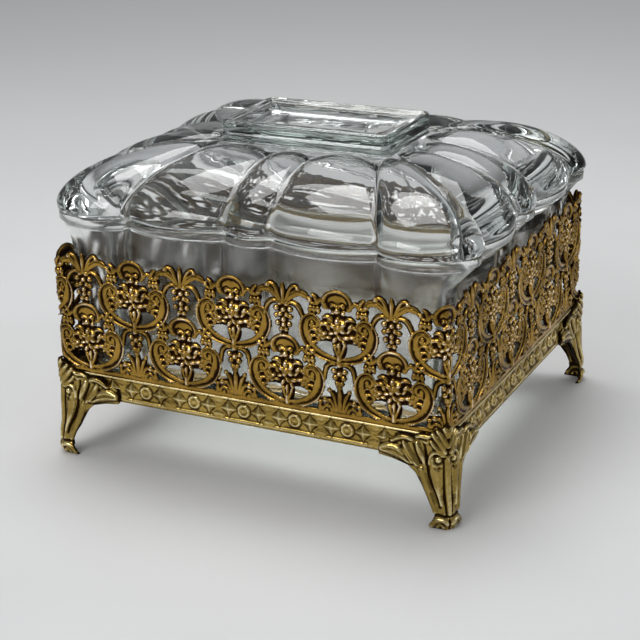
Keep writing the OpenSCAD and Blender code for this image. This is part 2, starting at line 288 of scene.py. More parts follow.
pressed = {"ior": 1.5, "density": 8, "shadow": (.83, .845, .84), "smearScale": 70, "smearSpan": (.4, .75),
           "waveScale": 110, "waveDepth": .00005}
glassFinish = {  # roughness where it is clean and where it is smeared; the dish is hazier, from years of use
    "clearGlass": {"tint": (.62, .84, .76), "clean": 0., "smeared": .05},
    "dishGlass": {"tint": (.66, .82, .58), "clean": .1, "smeared": .22}}


def glassMaterial(name, v):
    look = glassFinish[name]
    material, s, surface = newMaterial(name)
    surface.inputs["Base Color"].default_value = (1, 1, 1, 1)
    surface.inputs["Transmission Weight"].default_value = 1
    surface.inputs["IOR"].default_value = v["ior"]
    where = s.put("ShaderNodeTexCoord").outputs["Object"]
    smears = s.ramp(s.noise(where, v["smearScale"], 4), *v["smearSpan"], look["clean"], look["smeared"])
    s.join(smears, surface.inputs["Roughness"])
    waves = s.put("ShaderNodeBump")
    waves.inputs["Strength"].default_value = 1
    waves.inputs["Distance"].default_value = v["waveDepth"]
    s.join(s.noise(where, v["waveScale"], 2), waves.inputs["Height"])
    s.join(waves.outputs["Normal"], surface.inputs["Normal"])
    output = material.node_tree.nodes["Material Output"]
    body = s.put("ShaderNodeVolumeAbsorption")
    body.inputs["Color"].default_value = opaque(look["tint"])
    body.inputs["Density"].default_value = v["density"]
    s.join(body.outputs["Volume"], output.inputs["Volume"])
    clear = s.put("ShaderNodeBsdfTransparent")  # lets lamps shine through instead of casting a black shadow
    clear.inputs["Color"].default_value = opaque(v["shadow"])
    choose = s.put("ShaderNodeMixShader")
    s.join(s.put("ShaderNodeLightPath").outputs["Is Shadow Ray"], choose.inputs[0])
    s.join(surface.outputs["BSDF"], choose.inputs[1])
    s.join(clear.outputs["BSDF"], choose.inputs[2])
    s.join(choose.outputs["Shader"], output.inputs["Surface"])
    return material


clearGlass = glassMaterial("clearGlass", pressed)
dishGlass = glassMaterial("dishGlass", pressed)
print("materials made")


# relief: a stamped pattern is a gap (below 0 inside the metal) and a height, over places s along and z up

def smoothPath(points, steps=5):  # a curve through the points; each is s, z, half width
    p = np.array([points[0]] + list(points) + [points[-1]], float)
    out = []
    for i in range(1, len(p) - 2):
        a, b, c, d = p[i - 1:i + 3]
        for t in np.arange(steps) / steps:
            out.append(.5 * (2 * b + (c - a) * t + (2 * a - 5 * b + 4 * c - d) * t * t
                             + (3 * b - 3 * c + d - a) * t ** 3))
    return np.array(out + [p[-2]])


def newField(s, z, period=None):
    return {"s": s, "z": z, "period": period, "gap": np.full(s.shape, 9.), "height": np.zeros(s.shape)}


# places measured from a centre, with s wrapped into one period
def seenFrom(field, centre, flip=1):
    s = field["s"] - centre[0]
    if field["period"]:
        s = (s + field["period"] / 2) % field["period"] - field["period"] / 2
    return s * flip, field["z"] - centre[1]


# gap to a stroke, place across it (-1 to 1) and place along it (0 to 1)
def alongPath(s, z, path):
    best, across, along = np.full(s.shape, 1e9), np.zeros(s.shape), np.zeros(s.shape)
    lengths = np.hypot(*np.diff(path[:, :2], axis=0).T)
    before = np.r_[0, np.cumsum(lengths)]
    for a, b, length, start in zip(path[:-1], path[1:], lengths, before):
        d = (b[:2] - a[:2]) / length
        t = np.clip((s - a[0]) * d[0] + (z - a[1]) * d[1], 0, length)
        ds, dz = s - a[0] - t * d[0], z - a[1] - t * d[1]
        width = a[2] + (b[2] - a[2]) * t / length
        dist = np.hypot(ds, dz)
        closer = dist - width < best
        best = np.where(closer, dist - width, best)
        across = np.where(closer, np.sign(d[0] * dz - d[1] * ds) * dist / width, across)
        along = np.where(closer, (start + t) / before[-1], along)
    return best, across, along


def dome(t):
    return np.sqrt(np.clip(1 - t * t, 0, 1))


def ridge(t, place, width):
    return np.exp(-((t - place) / width) ** 2)


# sections of a stroke, about 1 high, from the place across it, the place along it and a count of ribs

def rounded(across, along, ribs):
    return dome(across)


def scrolled(across, along, ribs):  # hollow band with a proud rim along its outer edge
    bed = .26 + .4 * np.clip((across + .6) / 1.4, 0, 1) ** 1.5
    edge = np.clip((1 - np.abs(across)) / .16, 0, 1) ** .5
    return (bed + .8 * ridge(across, -.82, .15)) * edge


def bladed(across, along, ribs):  # a sharp ridge down the middle
    return 1 - .85 * np.abs(across) ** .9


def veined(across, along, ribs):  # a vein and slanting ribs
    ribbed = 1 + .22 * np.cos(2 * pi * ribs * (along - .25 * np.abs(across)))
    return dome(across) * ribbed - .45 * ridge(across, 0, .2)


def fluted(across, along, ribs):  # long grooves side by side
    return dome(across) * (.68 + .32 * np.cos(pi * ribs * across))


class Pen:  # draws on a field, from a centre, mirrored where flip is -1
    def __init__(self, field, centre=(0, 0), flip=1, outlines=True, strength=1.):
        self.field = field
        self.s, self.z = seenFrom(field, centre, flip)
        self.outlines = outlines  # without it, the pen raises what is there and adds no metal
        self.strength = strength

    def lay(self, gap, height):  # puts a shape on top of what is there
        if self.outlines:
            self.field["gap"] = np.minimum(self.field["gap"], gap)
        higher = np.maximum(self.field["height"], height)
        self.field["height"] = np.where(gap < 0, higher, self.field["height"])

    def stroke(self, points, base, rise, section=rounded, ribs=0):
        gap, across, along = alongPath(self.s, self.z, smoothPath(points))
        self.lay(gap, base + rise * self.strength * section(across, along, ribs))

    def bead(self, s, z, r, base, rise, rz=None, turn=0):
        rz = rz or r
        c, n = cos(radians(turn)), sin(radians(turn))
        ds, dz = self.s - s, self.z - z
        t = np.hypot((ds * c + dz * n) / r, (dz * c - ds * n) / rz)
        self.lay((t - 1) * min(r, rz), base + rise * self.strength * dome(t))

    def flower(self, s, z, r, petals, base, rise, turn=0):  # oval petals round a raised eye
        for k in range(petals):
            a = turn + 360 * k / petals
            c, n = cos(radians(a)), sin(radians(a))
            self.bead(s + r * .62 * c, z + r * .62 * n, r * .5, base, rise, r * .36, a)
        self.bead(s, z, r * .3, base + rise * .45, rise * .8)

    def groove(self, points, depth):
        across = alongPath(self.s, self.z, smoothPath(points))[1]
        self.field["height"] = self.field["height"] - depth * self.strength * np.exp(-across ** 2 * 1.5)

    def opening(self, corners, soft=.25):  # cuts a softly rounded polygon through
        gap = np.full(self.s.shape, -9.)
        for a, b in zip(corners, corners[1:] + corners[:1]):
            ds, dz = b[0] - a[0], b[1] - a[1]
            edge = (dz * (self.s - a[0]) - ds * (self.z - a[1])) / hypot(ds, dz)
            gap = np.logaddexp(gap / soft, edge / soft) * soft
        self.field["gap"] = np.maximum(self.field["gap"], -gap)


def bothSides(field, centre=(0, 0), **options):
    return [Pen(field, centre, flip, **options) for flip in (1, -1)]


# a sheet of metal with openings, meshed from a field: one point in each cell that metal touches

def softened(values, size, wrap):  # box blur; wrap joins the two ends along s
    for axis in (0, 1):
        total = np.zeros(values.shape)
        for k in range(-size, size + 1):
            moved = np.roll(values, k, axis)
            if k and (axis == 1 or not wrap):
                edge = [slice(None), slice(None)]
                edge[axis] = slice(0, k) if k > 0 else slice(k, None)
                moved[tuple(edge)] = 0
            total += moved
        values = total / (2 * size + 1)
    return values


def newPiece(name, points, faces, recess, material):
    mesh = bpy.data.meshes.new(name)
    mesh.vertices.add(len(points))
    mesh.vertices.foreach_set("co", (np.asarray(points, float) * mm).ravel())
    mesh.loops.add(faces.size)
    mesh.loops.foreach_set("vertex_index", faces.ravel().astype(np.int32))
    mesh.polygons.add(len(faces))
    mesh.polygons.foreach_set("loop_start", np.arange(0, faces.size, faces.shape[1], dtype=np.int32))
    mesh.update(calc_edges=True)
    mesh.polygons.foreach_set("use_smooth", np.ones(len(faces), bool))
    if recess is not None:
        kept = mesh.attributes.new("recess", "FLOAT", "POINT")
        kept.data.foreach_set("value", recess.astype(np.float32))
    mesh.materials.append(material)
    piece = bpy.data.objects.new(name, mesh)
    bpy.context.scene.collection.objects.link(piece)
    return piece


backGrime = .25  # recess added to a sheet's back, which is never rubbed


def stampedSheet(name, field, cell, place, thickness, closed, material, blur):
    gap = field["gap"]
    inside = gap < 0
    inside[:, 0] = inside[:, -1] = False
    if not closed:
        inside[0] = inside[-1] = False
    height = np.where(inside, field["height"], 0)
    # nearby - height is the recess that the brass darkens: partly patina, partly painted shade, with painted
    # shadow outlines along the cut edges
    nearby = softened(height, blur, closed) / np.maximum(softened(inside * 1., blur, closed), .2)
    ends = slice(None) if closed else slice(-1)

    def corners(values):  # of each cell: near, next along, next up, across
        ahead = np.roll(values, -1, 0)
        return [values[ends, :-1], ahead[ends, :-1], values[ends, 1:], ahead[ends, 1:]]
    isIn, gaps, heights, recesses = (corners(values) for values in (inside, gap, height, nearby - height))

    # the point lies midway between the places where the outline crosses the cell's edges, else in its middle
    rows, cols = np.indices(isIn[0].shape).astype(float)
    used = isIn[0] | isIn[1] | isIn[2] | isIn[3]
    alongSum, upSum, count = (np.zeros(used.shape) for k in range(3))
    cellEdges = ((0, 1, 0, 0, 1, 0), (2, 3, 0, 1, 1, 0), (0, 2, 0, 0, 0, 1), (1, 3, 1, 0, 0, 1))
    for a, b, ds, dz, us, uz in cellEdges:  # two corners, where the edge starts, and its direction
        crossed = isIn[a] != isIn[b]
        span = gaps[a] - gaps[b]
        t = np.clip(gaps[a] / np.where(np.abs(span) < 1e-6, 1e-6, span), .02, .98)
        alongSum += np.where(crossed, ds + us * t, 0)
        upSum += np.where(crossed, dz + uz * t, 0)
        count += crossed
    full = count == 0
    count = np.where(full, 1, count)
    s = rows + np.where(full, .5, alongSum / count)
    z = cols + np.where(full, .5, upSum / count)
    weight = sum(i * 1. for i in isIn)
    weight = np.where(weight == 0, 1, weight)
    h = sum(i * v for i, v in zip(isIn, heights)) / weight
    r = sum(i * v for i, v in zip(isIn, recesses)) / weight
    number = np.where(used, np.cumsum(used).reshape(used.shape) - 1, -1)
    s, z, h, r = (values[used] for values in (s, z, h, r))
    s, z = field["s"][0, 0] + s * cell, field["z"][0, 0] + z * cell
    points = np.concatenate([place(s, z, h), place(s, z, h - thickness)])

    # front and back faces, then the cut edges between them
    total = len(s)
    i, j = np.nonzero(inside)
    before, ahead = (i - 1) % number.shape[0], i % number.shape[0]
    a, b, c, d = number[before, j - 1], number[ahead, j - 1], number[ahead, j], number[before, j]
    faces = [np.stack([a, b, c, d], 1), np.stack([d, c, b, a], 1) + total]
    for di, dj, first, second in ((1, 0, b, c), (0, 1, c, d), (-1, 0, d, a), (0, -1, a, b)):
        bare = ~inside[(i + di) % inside.shape[0], j + dj]
        p, q = first[bare], second[bare]
        faces.append(np.stack([q, p, p + total, q + total], 1))
    piece = newPiece(name, points, np.concatenate(faces), np.concatenate([r, r + backGrime]), material)
    print(name, "faces", len(piece.data.polygons))
    return piece


stand = {"halfX": 72.25, "halfY": 65.65, "bandLow": 22.6, "bandHigh": 31.6, "bend": 2.2}
perimeter = 4 * (stand["halfX"] + stand["halfY"])
sideAlong = np.array([(1, 0), (0, 1), (-1, 0), (0, -1)], float)  # front, right, back, left
sideOutward = np.array([(0, -1), (1, 0), (0, 1), (-1, 0)], float)


def roundTheStand(s, out):  # s runs from the front left corner along the four sides
    bend = stand["bend"]
    lengths = np.array([stand["halfX"], stand["halfY"]] * 2) * 2
    starts = np.r_[0, np.cumsum(lengths)]
    s = np.mod(s, starts[-1])
    side = np.clip(np.searchsorted(starts, s, "right") - 1, 0, 3)
    t = s - starts[side]
    length = lengths[side]
    nearEnd = np.where(t > length - bend, 1 - (length - t) / bend, 0)
    turn = np.where(t < bend, -(1 - t / bend), nearEnd) * pi / 4
    along, outward = sideAlong[side], sideOutward[side]
    facing = outward * np.cos(turn)[:, None] + along * np.sin(turn)[:, None]
    away = lengths[(side + 1) % 4] / 2
    straight = np.clip(t, bend, length - bend) - length / 2
    middle = along * straight[:, None] + outward * (away - bend)[:, None]
    return middle + facing * (bend + out)[:, None]


def raised(xy, z):  # a flat path put at a height, or at a height for each point
    return np.column_stack([xy, np.broadcast_to(np.asarray(z, float).reshape(-1, 1), (len(xy), 1))])


# the filigree strip: two staggered rows of hearts, with plumes, grapes and sprigs between them

filigree = {"pitch": 38., "rowRise": 17.5, "start": 12.4, "foot": 32.8, "below": -2, "above": 43.6,
            "cell": .3, "thickness": .5, "sink": .65, "blur": 4, "railAt": -.3, "railHalf": .9,
            "railBed": .35, "railRise": .4, "dent": .22, "dentAlong": .043, "dentUp": .07,
            "ripple": .12, "rippleAlong": .21}


def knob(field, centre):  # mushroom shell with a rolled rim and a forked curl at its foot
    pen = Pen(field, centre)
    wide, high, middle, lowest = 5.5, 4.5, 20.3, 17.9
    t = np.hypot(pen.s / wide, (pen.z - middle) / high)
    upper = np.clip((pen.z - 17.2) / 3, 0, 1)
    rolled = .75 * ridge(t, .87, .1) - .12 * ridge(t, .68, .08)
    pen.lay(np.maximum((t - 1) * high, lowest - pen.z), .62 - .2 * dome(t * .9) + upper * rolled)
    for side in bothSides(field, centre):
        side.groove([(.5, 17.6, .3), (.6, 19.4, .3), (1.6, 20.6, .3), (2.9, 19.9, .3), (2.7, 18.7, .25)], .35)
        side.stroke([(.1, 17.4, .4), (.3, 19, .35), (1.3, 19.6, .4), (2, 19.2, .35)], .45, .5)
    pen.bead(0, 17.7, 1, .7, .8)


def bouquet(field, centre):  # buds and leaves round a flower, on a plate between the scrolls
    pen = Pen(field, centre)
    pen.bead(0, 11.2, 6.9, 0, .1, 5.4)
    pen.bead(0, 5.6, 2.5, 0, .1, 4.6)
    leaves = ([(2.2, 14.4, .5), (3.7, 15.4, 1.1), (5.4, 15, .5)],
              [(3.4, 12.4, .6), (4.8, 12.9, 1.1), (6.2, 12.2, .5)],
              [(7.4, 10.2, .5), (8.8, 10.7, .9), (9.9, 10, .4)],
              [(7.8, 8.4, .5), (9.3, 8.2, .85), (9.9, 7.2, .4)],
              [(6.6, 7.4, .5), (7.8, 6.4, .85), (9, 6.2, .4)])
    for side in bothSides(field, centre):
        side.bead(7.4, 9.4, 4.2, 0, .1, 3.2)
        for leaf in leaves:
            side.stroke(leaf, .15, 1, bladed)
        side.flower(6.4, 9.2, 2.1, 5, .15, 1, 20)
        side.bead(1.7, 17.1, .8, .35, .9)
        side.stroke([(.4, 1.2, .4), (.9, 3.4, .5), (1.8, 6, .5)], .2, .8)
    buds, goldenTurn = 17, 137.5
    for k in range(1, buds):  # a sunflower spiral, uneven in size, height and turn
        a, r = radians(goldenTurn * k), (k / buds) ** .5
        size = .95 + .14 * (k * 7 % 3)
        thin = size * (.55 + .2 * (k % 2))
        turn = degrees(a) + 35 * (k % 3 - 1)
        s, z = 5.4 * r * cos(a), 10.3 + 4.6 * r * sin(a)
        pen.bead(s, z, size * 1.2, .1, .85 + .15 * (k * 5 % 3), thin, turn)
    pen.flower(0, 12.4, 2.7, 5, .45, 1.05, 30)
    pen.stroke([(0, 1, .35), (0, 4, .55), (0, 6.6, .5)], .35, .8)
    pen.stroke([(0, .2, .5), (0, 1.7, 1), (0, 3.6, .3)], .7, .9, bladed)


def cartouche(field, centre):  # heart of two scrolls with a bouquet in it and a knob on top
    bouquet(field, centre)
    sides = bothSides(field, centre)
    for side in sides:
        side.opening([(8.6, 6.6), (2.5, 6.9), (2.6, 3.6), (5.2, 4.4)])
    scroll = [(0, .9, .9), (4, 1.5, 1.25), (7.8, 3.1, 1.5), (10.6, 5.8, 1.75), (11.9, 9., 2.),
              (12.2, 11.6, 1.6), (11.2, 13.9, 1.25), (9.2, 14.9, 1.1), (7.3, 13.9, 1.), (7., 12.2, .9),
              (8.2, 11, .8), (9.5, 11.7, .65), (9.2, 12.8, .5)]
    for side in sides:
        side.bead(9.4, 12.4, 3, .1, .35)
        side.stroke(scroll, .2, 1.4, scrolled)
        side.bead(8.3, 18.4, 2.1, 0, .2, 2.9)
        for s, lean in ((6.9, -8), (8.3, 0), (9.7, 8)):  # ribbed bud on the scroll's shoulder
            side.bead(s, 17.4, .8, .25, 1.1, 1.6, lean)
        side.bead(8.2, 19.4, 1.9, .3, .9, .6)
        side.stroke([(7.5, 20, .8), (7.8, 21.3, 1.1), (8.9, 22.4, .5)], .1, 1.2, bladed)
        side.bead(9.8, 20.4, .95, .3, 1)
        side.stroke([(4.8, 19.7, .6), (5.9, 20.9, .75), (7, 19.9, .65)], .15, 1)
    Pen(field, centre).stroke([(0, 15.4, 1.1), (0, 18.4, 1.5)], .05, .4)
    knob(field, (centre[0] - .4, centre[1]))


def cluster(field, centre):  # grapes and drooping leaves under an upper heart
    leaf = [(.6, -.7, .5), (2.5, -.4, .95), (4.3, -1.4, 1.05), (5.1, -3.6, .85), (5, -6, .4)]
    for side in bothSides(field, centre):
        side.stroke(leaf, .1, 1.1, fluted, 2)
        for s, z, r in ((1.9, -2.7, 1.05), (1.45, -4.9, 1.1), (.8, -6.9, .95)):
            side.bead(s, z, r, .3, 1.1)
    pen = Pen(field, centre)
    for z in (-.6, -3.6, -8.3):
        pen.bead(0, z, 1., .4, 1.1)
    pen.stroke([(0, 0, .9), (0, -8, .9)], .05, .25)


def sprig(field, centre):  # acanthus sprig with a rosette on each side, rising from the rail
    innerLeaf = [(.7, -1.5, .7), (1.4, 3.2, 1), (2.3, 6.2, 1.15), (3.6, 7.7, .5)]
    outerLeaf = [(1.3, -1, .7), (2.2, 2.2, .95), (3.3, 4.1, 1.05), (4.7, 4.7, .5)]
    for side in bothSides(field, centre):
        side.stroke(innerLeaf, .05, 1.15, bladed)
        side.bead(3.5, 8, .8, .45, 1)
        side.stroke(outerLeaf, .05, 1.1, bladed)
        side.stroke([(3.9, 3.9, .6), (5.6, 4.2, .85), (6.9, 2.9, .85), (7, -1, .7)], .1, .9)
        side.bead(5.1, 4.3, 1.1, .45, 1.1)
        side.bead(6.9, 3.4, .85, .4, 1.)
        side.stroke([(2.6, -1.4, .6), (3.1, 1.4, .6), (4.6, 2.4, .6), (6, 1.4, .6), (6.2, -1.4, .6)], .15, .9)
        side.bead(4.6, .2, 1., .2, .9)
    spine = [(0, -1.5, 1.2), (0, 3.4, 1.4), (0, 6.6, 1.3), (0, 9.8, .3)]
    Pen(field, centre).stroke(spine, .25, 1.15, bladed)


def palmette(field, centre):  # plumes over a longer cluster, above a lower knob
    leaf = [(1.2, 35.2, .5), (3.2, 35.9, 1), (5.2, 34.9, 1.1), (6.5, 32.6, .9), (7, 30, .4)]
    lowPlume = [(1.2, 35.6, .6), (2.8, 38, 1.05), (5.3, 39.6, 1.3), (8, 39.1, 1.1), (9.7, 37.4, .5)]
    highPlume = [(.7, 35.6, .5), (1.7, 38.6, .8), (3, 40.9, .95), (4.6, 41.8, .8), (5.6, 41.2, .4)]
    grapes = ((1.2, 35.2, .95), (2.5, 33.5, 1.1), (1.2, 31.5, 1.), (2.6, 31, .95), (2.1, 28.4, 1.05),
              (.9, 26.4, .9))
    for side in bothSides(field, centre):
        side.stroke(leaf, .1, 1.1, fluted, 2)
        side.stroke(lowPlume, .1, 1.15, fluted, 3)
        side.stroke(highPlume, .1, 1.2, bladed)
        side.bead(5.5, 41, .8, .5, .9)
        for s, z, r in grapes:
            side.bead(s, z, r, .3, 1.1)
    pen = Pen(field, centre)
    pen.stroke([(0, 35.6, .9), (0, 38, .75), (0, 40.2, 1.1), (0, 42, .5)], .4, 1.1, bladed)
    for z in (33.1, 29.7, 28):
        pen.bead(0, z, 1., .4, 1.1)
    pen.stroke([(0, 34, 1.9), (0, 29, 1.5), (0, 24, 1.1)], .05, .3)


def filigreeField(v):  # one pitch of the pattern, z from the lowest scroll
    cells = round(v["pitch"] / v["cell"])
    step = v["pitch"] / cells
    s, z = np.meshgrid(np.arange(cells) * step, np.arange(v["below"], v["above"], step), indexing="ij")
    field = newField(s, z, v["pitch"])
    upper = (v["pitch"] / 2, v["rowRise"])
    cartouche(field, (0, 0))
    cartouche(field, upper)
    palmette(field, (-.5, 0))
    cluster(field, upper)
    sprig(field, (v["pitch"] / 2, 0))
    rail = np.clip((z - v["railAt"]) / v["railHalf"], -1, 1)
    field["gap"] = np.minimum(field["gap"], np.abs(z - v["railAt"]) - v["railHalf"])
    field["gap"] = np.maximum(field["gap"], v["railAt"] - v["railHalf"] - z)
    railHeight = v["railBed"] + v["railRise"] * dome(rail)
    field["height"] = np.where(z < v["railAt"] + v["railHalf"], railHeight, field["height"])
    return field, step


def addFiligree(v):
    one, step = filigreeField(v)
    cells = int(perimeter / step)
    stretch = perimeter / (cells * step)
    index = np.arange(cells)
    tiled = {key: one[key][index % one["s"].shape[0]] for key in ("gap", "height", "z")}
    tiled["s"] = np.repeat((index * step)[:, None], one["s"].shape[1], 1)
    seam = -2 * stand["halfY"] - v["start"]  # the strip's ends meet at the back left corner
    first = seam // v["pitch"] * v["pitch"]

    def place(s, z, out):
        flat = s * stretch + v["start"] + first
        handled = v["dent"] * np.sin(flat * v["dentAlong"] + 1) * np.sin(z * v["dentUp"])
        handled += v["ripple"] * np.sin(flat * v["rippleAlong"])
        return np.column_stack([roundTheStand(flat, out - v["sink"] + handled), v["foot"] + z])
    piece = stampedSheet("filigreeStrip", tiled, step, place, v["thickness"], True, filigreeBrass, v["blur"])
    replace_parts(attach(piece, "stand"), "filigree_gallery")


addFiligree(filigree)


# the stamped band, z from its lower edge

band = {"cell": .36, "step": 19., "ringAt": 14.7, "middle": 4.85, "ring": 1.85, "boss": 1.25, "starAt": 5.7,
        "star": 3.6, "starHigh": 3.15, "starHollow": .68, "lowLine": 1., "highLine": 8.6, "line": .5,
        "faintLine": 7.5, "faintGroove": 1.75, "ringGroove": 2.6, "petal": 2.2, "petalHigh": 1.25,
        "petalAt": 2.75, "sink": .35, "thickness": 1., "edgeGrime": .3, "blur": 3}


def bandField(v):  # one ring and its two stars
    cells = round(v["step"] / v["cell"])
    step = v["step"] / cells
    high = stand["bandHigh"] - stand["bandLow"]
    s, z = np.meshgrid(np.arange(cells) * step, np.linspace(0, high, round(high / step) + 1), indexing="ij")
    field = newField(s, z, v["step"])
    ds, dz = seenFrom(field, (0, v["middle"]))
    r = np.hypot(ds, dz)

    def beadAt(distance, place):
        return dome(np.clip((distance - place) / v["line"], -1, 1))
    h = .12 + .5 * beadAt(z, v["highLine"]) + .45 * beadAt(z, v["lowLine"]) + .3 * ridge(z, 0, .35)
    h += .16 * ridge(z, v["faintLine"], .25) - .14 * ridge(z, v["faintGroove"], .25)
    h = np.maximum(h, .1 + .5 * beadAt(r, v["ring"]))
    h = np.maximum(h, (.16 + .4 * dome(np.clip(r / v["boss"], 0, 1))) * (r < v["boss"]))
    h -= .2 * ridge(r, v["ringGroove"], .22)
    for side in (-1, 1):
        us = np.abs(ds - side * v["starAt"]) / v["star"]
        uz = np.abs(dz) / v["starHigh"]
        if side > 0:  # the star past the seam of the period
            us = np.minimum(us, np.abs(ds - side * v["starAt"] + v["step"]) / v["star"])
        t = us ** v["starHollow"] + uz ** v["starHollow"]
        h = np.where(t < 1, .2 + .85 * np.clip(1 - t, 0, 1) ** .85, h)
        h -= .3 * ridge(t, 1.1, .08)
        # half ovals between two stars
        petalAlong = (np.abs(ds) - v["step"] / 2) / v["petal"]
        petal = np.hypot(petalAlong, (np.abs(dz) - v["petalAt"]) / v["petalHigh"])
        h = np.maximum(h, (.12 + .42 * dome(np.clip(petal, 0, 1))) * (petal < 1))
    field["height"] = h
    return field, step


def addBand(v):
    one, step = bandField(v)
    cols = int(perimeter / step)
    index = np.arange(cols)
    h = one["height"][index % one["s"].shape[0]]
    # recess for the brass material: its grooves go dark, partly as patina, partly as painted shade
    recess = softened(h, v["blur"], True) - h
    s = index * (perimeter / cols) + v["ringAt"]
    points, depth = [], []
    for k, z in enumerate(one["z"][0]):
        points.append(raised(roundTheStand(s, h[:, k] - v["sink"]), stand["bandLow"] + z))
        depth.append(recess[:, k])
    for level in (stand["bandHigh"], stand["bandLow"]):
        points.append(raised(roundTheStand(s, np.full(cols, -v["thickness"])), level))
        depth.append(np.full(cols, v["edgeGrime"]))
    count = len(points)
    grid = np.arange(count)[:, None] * cols + index[None, :]
    ahead, above = np.roll(grid, -1, 1), np.roll(grid, -1, 0)
    faces = np.stack([grid, ahead, np.roll(ahead, -1, 0), above], 2).reshape(-1, 4)
    piece = newPiece("stampedBand", np.concatenate(points), faces, np.concatenate(depth), bandBrass)
    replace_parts(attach(piece, "stand"), "base_band")


addBand(band)
print("stamped band made")


# the stamped feet; s runs along the section from the corner, z up

foot = {"cell": .3, "rise": 1.25, "thickness": .9, "sink": .9, "reach": 25.5, "below": -.6, "above": 37.4,
        "blur": 3, "bed": .25, "edgeRise": .3, "edgeWidth": 1.1}
footProfile = np.array([  # height, how far the corner stands out, bend of the corner
    (0, 2.6, 3), (1.2, 2.8, 3), (3, 2.95, 3), (5, 2.95, 3.2), (7, 2.8, 3.2), (9, 2.6, 3), (12, 2.15, 3),
    (16, 1.9, 2.8), (20, 1.7, 2.4), (22.6, 1.45, 2), (26, 1.25, 1.8), (37, 1.25, 1.8)])
footEdge = np.array([  # outline of one arm: up the leg, round the wing, up to the tip
    (7., -.6), (7.3, .5), (7., 1.7), (6.2, 2.9), (5.7, 4), (5.7, 5), (6.7, 8), (8.1, 11), (9.4, 14),
    (11.5, 17.8), (14, 20), (19, 21.3), (24.2, 22), (24.2, 24), (23.4, 26.8), (21, 27.9), (19.4, 27.7),
    (18, 29.6), (15, 30.8), (13, 30.5), (11.9, 29.8), (11, 31.2), (9.5, 31.9), (7.2, 31.7), (6.4, 32.3),
    (5.2, 33.2), (3.5, 34.1), (2, 34.5), (1, 35.6), (0, 36.1), (-3, 36.1), (-3, -.6)])


def footOutline(s, z):  # gap to the outline, mirrored about the corner
    u = np.abs(s)
    inside = np.zeros(u.shape, bool)
    nearest = np.full(u.shape, 99.)
    for a, b in zip(footEdge, np.roll(footEdge, -1, 0)):
        d = b - a
        t = np.clip(((u - a[0]) * d[0] + (z - a[1]) * d[1]) / (d @ d), 0, 1)
        nearest = np.minimum(nearest, np.hypot(u - a[0] - t * d[0], z - a[1] - t * d[1]))
        crosses = (a[1] > z) != (b[1] > z)
        level = d[1] if abs(d[1]) > 1e-9 else 1e-9
        inside ^= crosses & (u < a[0] + (z - a[1]) / level * d[0])
    return np.where(inside, -nearest, nearest)


